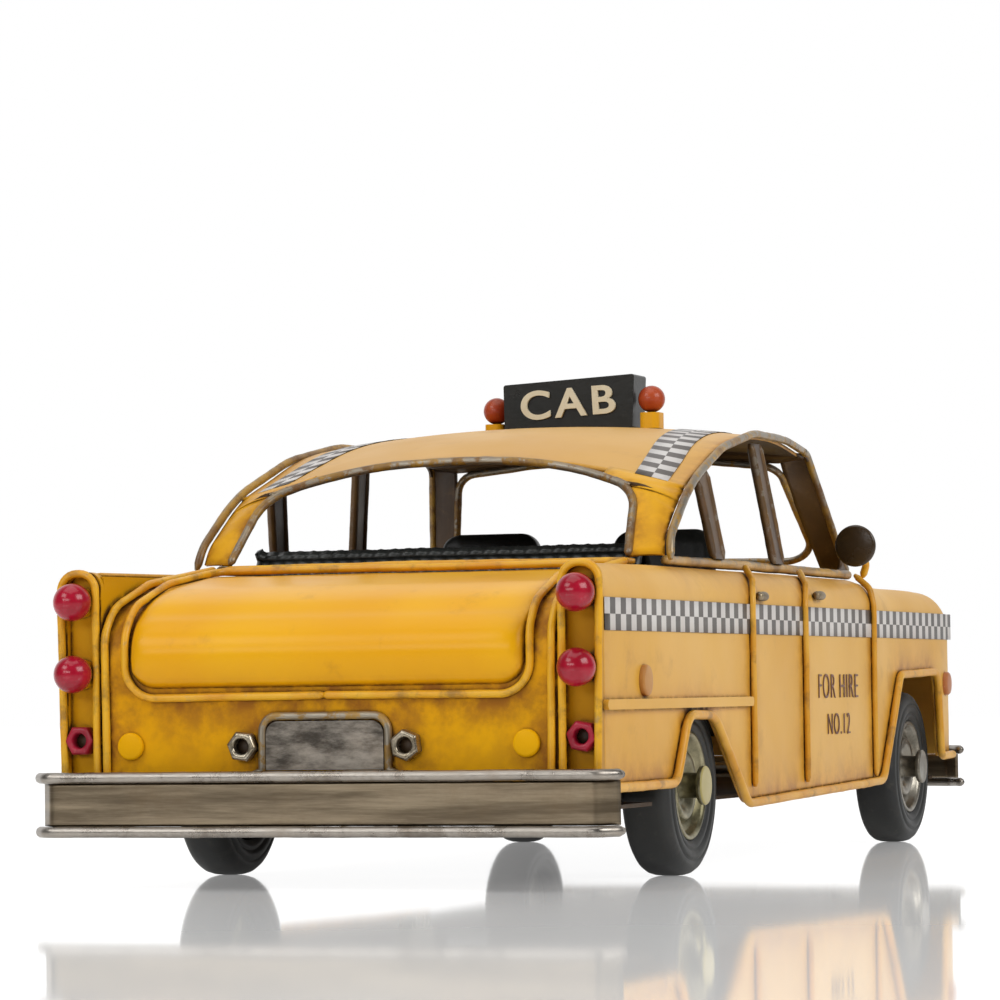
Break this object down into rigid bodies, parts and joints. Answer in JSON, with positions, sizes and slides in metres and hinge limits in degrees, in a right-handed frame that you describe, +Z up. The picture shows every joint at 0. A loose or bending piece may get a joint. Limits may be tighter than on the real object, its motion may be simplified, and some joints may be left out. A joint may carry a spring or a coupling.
{
  "type": "friction tin car",
  "caption": "Sheet-tin saloon taxi with open windows, soldered wire trim and a geared friction flywheel drive on the rear axle",
  "frame": {"origin": "On the floor, under the middle of the overall length and width", "axes": "+X forward, +Y to the car's left, +Z up"},
  "size_m": [0.297, 0.1254, 0.1108],
  "materials": {
    "body_paint": "satin hand-painted yellow with brown wash, worn at the edges",
    "worn_wire": "yellow-brown paint worn to bare steel along the top",
    "bare_steel": "brushed, scratched and slightly oxidised",
    "bead_red": "gloss red bead",
    "nut_steel": "plated, brown in the corners",
    "tyre": "matt dark grey moulded rubber",
    "rim": "dark olive paint, dry and scratched",
    "sign_black": "semi-matt black",
    "sign_lamp": "gloss orange-red bead",
    "seat_trim": "dark grey ribbed, satin",
    "gear_steel": "plain cut steel",
    "inner_tin": "dark brown-black, dull",
    "lamp_lens": "moulded clear lens"
  },
  "bodies": {
    "car_body": {"a_pillars": "worn_wire", "axle_brackets": "gear_steel", "belt_rails": "worn_wire", "body_discs": "body_paint", "bumper_brackets": "gear_steel", "bumper_wires": "bare_steel", "c_pillars": "body_paint", "cowl": "body_paint", "dashboard": "inner_tin", "door_handles": "bare_steel", "door_pillars": "worn_wire", "door_wires": "body_paint", "floor_pan": "inner_tin", "front_bumper": "bare_steel", "front_seats": "seat_trim", "grille": "bare_steel", "headlamp_bezels": "bare_steel", "headlamps": "lamp_lens", "hex_nuts": "nut_steel", "hood": "body_paint", "lamp_frame_wires": "body_paint", "lamp_housing_left": "body_paint", "lamp_housing_right": "body_paint", "motor_plates": "gear_steel", "nose_panel": "body_paint", "number_plate": "bare_steel", "plate_frame": "body_paint", "rear_bumper": "bare_steel", "rear_panel": "body_paint", "rear_seat": "seat_trim", "rear_window_frame": "worn_wire", "roof_panel": "body_paint", "roof_rails": "worn_wire", "side_mirror": "worn_wire", "side_mouldings": "body_paint", "side_panel_left": "body_paint", "side_panel_right": "body_paint", "sign_box": "sign_black", "sign_lamp_cups": "body_paint", "sign_lamps": "sign_lamp", "sill_wires": "body_paint", "steering_column": "seat_trim", "tail_lamps": "bead_red", "trunk_border_wire": "body_paint", "trunk_deck": "body_paint", "trunk_lid": "body_paint", "trunk_lid_wire": "body_paint", "windshield_frame": "worn_wire"},
    "rear_axle_set": {"rear_axle": "gear_steel", "rear_tyres": "tyre", "rear_rims": "rim", "drive_gear": "gear_steel"},
    "front_axle_set": {"front_axle": "gear_steel", "front_tyres": "tyre", "front_rims": "rim"},
    "layshaft_set": {"layshaft": "gear_steel", "layshaft_gear": "gear_steel"},
    "flywheel_set": {"flywheel_shaft": "gear_steel", "flywheel": "gear_steel"},
    "steering_wheel_set": {"steering_wheel": "seat_trim"}
  },
  "joints": [
    {"name": "rear_axle_spin", "type": "hinge", "parent": "car_body", "child": "rear_axle_set", "pos_m": [-0.0743, 0, 0.0186], "axis": [0, 1, 0], "continuous": true},
    {"name": "front_axle_spin", "type": "hinge", "parent": "car_body", "child": "front_axle_set", "pos_m": [0.1133, 0, 0.0186], "axis": [0, 1, 0], "continuous": true},
    {"name": "layshaft_spin", "type": "hinge", "parent": "car_body", "child": "layshaft_set", "pos_m": [-0.08539, 0, 0.025], "axis": [0, 1, 0], "continuous": true},
    {"name": "flywheel_spin", "type": "hinge", "parent": "car_body", "child": "flywheel_set", "pos_m": [-0.09647, 0, 0.0314], "axis": [0, 1, 0], "continuous": true},
    {"name": "steering_wheel_spin", "type": "hinge", "parent": "car_body", "child": "steering_wheel_set", "pos_m": [0.0344, 0.0236, 0.0648], "axis": [-0.9135, 0, 0.4067], "continuous": true}
  ],
  "couplings": [
    {"joint": "layshaft_spin", "follows": "rear_axle_spin", "ratio": -3},
    {"joint": "flywheel_spin", "follows": "rear_axle_spin", "ratio": 9}
  ]
}
